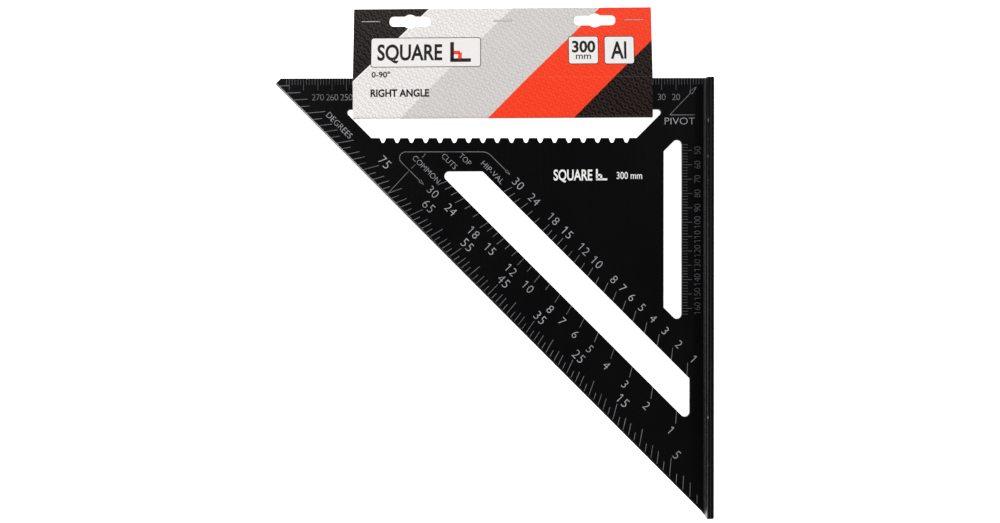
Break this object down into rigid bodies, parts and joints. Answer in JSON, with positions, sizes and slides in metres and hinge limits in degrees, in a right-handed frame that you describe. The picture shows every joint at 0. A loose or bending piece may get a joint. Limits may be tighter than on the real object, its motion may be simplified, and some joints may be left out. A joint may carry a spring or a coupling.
{
  "type": "rafter square",
  "caption": "Black triangular rafter square with a T-shaped fence, notched scribing window and slanted rafter slot, with a folded hang card stapled over its ruled bar",
  "frame": {"origin": "The pivot corner, where the fence's inner wall meets the ruled edge in the plane of the marked face. Every scale on the square is measured from it.", "axes": "+X points out through the fence, away from the blade. +Y points from the fence's foot end to the ruled edge and on to the card's top. +Z points out of the marked face."},
  "size_m": [0.3048, 0.3558, 0.026],
  "materials": {
    "anodised_aluminium": "fine satin black anodising",
    "printed_card": "coated print, semi-gloss",
    "staple_wire": "galvanised wire"
  },
  "bodies": {
    "square": {"square_body": "anodised_aluminium"},
    "card": {"hang_card": "printed_card", "staple_left": "staple_wire", "staple_middle": "staple_wire", "staple_right": "staple_wire"}
  },
  "joints": [
    {"name": "card_lift", "type": "slide", "parent": "square", "child": "card", "axis": [0, 1, 0], "range_m": [0, 0.0038]}
  ]
}
